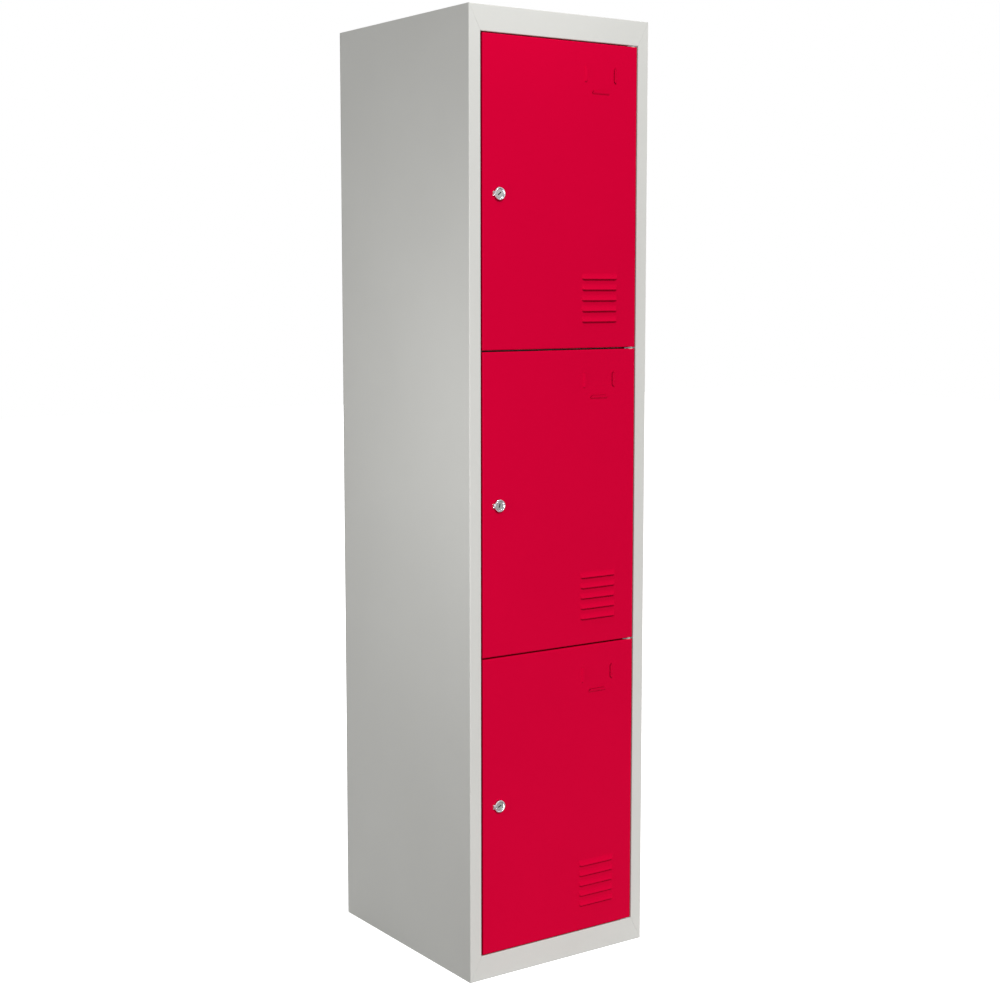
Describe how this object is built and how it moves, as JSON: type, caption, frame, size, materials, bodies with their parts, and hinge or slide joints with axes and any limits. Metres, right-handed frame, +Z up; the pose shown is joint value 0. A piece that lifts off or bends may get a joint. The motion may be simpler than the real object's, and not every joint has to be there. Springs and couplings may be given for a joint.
{
  "type": "locker",
  "caption": "Tall folded-steel locker with stacked louvred doors on pivot hinges, a cam lock and card tabs on each door, and a hook in each compartment.",
  "frame": {"origin": "middle of the footprint on the floor, with the locks' heads counted in the depth", "axes": "+Z up, -Y out of the doors, +X towards the hinges as seen from the front"},
  "size_m": [0.41, 0.4662, 1.8],
  "materials": {
    "carcass_paint": "satin light grey powder coat",
    "door_paint": "satin crimson powder coat",
    "zinc_steel": "bright zinc plate",
    "lock_chrome": "bright chrome plate",
    "nylon": "natural",
    "rubber": "matt"
  },
  "bodies": {
    "carcass": {"left_side_panel": "carcass_paint", "right_side_panel": "carcass_paint", "top_panel": "carcass_paint", "base_panel": "carcass_paint", "back_panel": "carcass_paint", "upper_shelf": "carcass_paint", "lower_shelf": "carcass_paint", "top_hinge_plate": "zinc_steel", "upper_hinge_plate": "zinc_steel", "lower_hinge_plate": "zinc_steel", "bottom_hinge_plate": "zinc_steel", "top_hinge_pin": "zinc_steel", "upper_hinge_pin": "zinc_steel", "lower_hinge_pin": "zinc_steel", "bottom_hinge_pin": "zinc_steel", "upper_coat_hook": "zinc_steel", "middle_coat_hook": "zinc_steel", "lower_coat_hook": "zinc_steel", "door_buffers": "rubber"},
    "upper_door": {"upper_door": "door_paint", "upper_door_stiffener": "door_paint", "upper_door_top_bush": "nylon", "upper_door_bottom_bush": "nylon", "upper_lock_housing": "lock_chrome", "upper_lock_nut": "zinc_steel"},
    "upper_lock": {"upper_lock_plug": "zinc_steel", "upper_lock_cam": "zinc_steel", "upper_cam_screw": "zinc_steel"},
    "middle_door": {"middle_door": "door_paint", "middle_door_stiffener": "door_paint", "middle_door_top_bush": "nylon", "middle_door_bottom_bush": "nylon", "middle_lock_housing": "lock_chrome", "middle_lock_nut": "zinc_steel"},
    "middle_lock": {"middle_lock_plug": "zinc_steel", "middle_lock_cam": "zinc_steel", "middle_cam_screw": "zinc_steel"},
    "lower_door": {"lower_door": "door_paint", "lower_door_stiffener": "door_paint", "lower_door_top_bush": "nylon", "lower_door_bottom_bush": "nylon", "lower_lock_housing": "lock_chrome", "lower_lock_nut": "zinc_steel"},
    "lower_lock": {"lower_lock_plug": "zinc_steel", "lower_lock_cam": "zinc_steel", "lower_cam_screw": "zinc_steel"}
  },
  "joints": [
    {"name": "upper_door_hinge", "type": "hinge", "parent": "carcass", "child": "upper_door", "pos_m": [0.17, -0.22145, 1.4682], "axis": [0, 0, 1], "range_deg": [0, 110]},
    {"name": "middle_door_hinge", "type": "hinge", "parent": "carcass", "child": "middle_door", "pos_m": [0.17, -0.22145, 0.9], "axis": [0, 0, 1], "range_deg": [0, 110]},
    {"name": "lower_door_hinge", "type": "hinge", "parent": "carcass", "child": "lower_door", "pos_m": [0.17, -0.22145, 0.3318], "axis": [0, 0, 1], "range_deg": [0, 110]},
    {"name": "upper_lock_turn", "type": "hinge", "parent": "upper_door", "child": "upper_lock", "pos_m": [-0.141, -0.22845, 1.4682], "axis": [0, 1, 0], "range_deg": [0, 90]},
    {"name": "middle_lock_turn", "type": "hinge", "parent": "middle_door", "child": "middle_lock", "pos_m": [-0.141, -0.22845, 0.9], "axis": [0, 1, 0], "range_deg": [0, 90]},
    {"name": "lower_lock_turn", "type": "hinge", "parent": "lower_door", "child": "lower_lock", "pos_m": [-0.141, -0.22845, 0.3318], "axis": [0, 1, 0], "range_deg": [0, 90]}
  ]
}
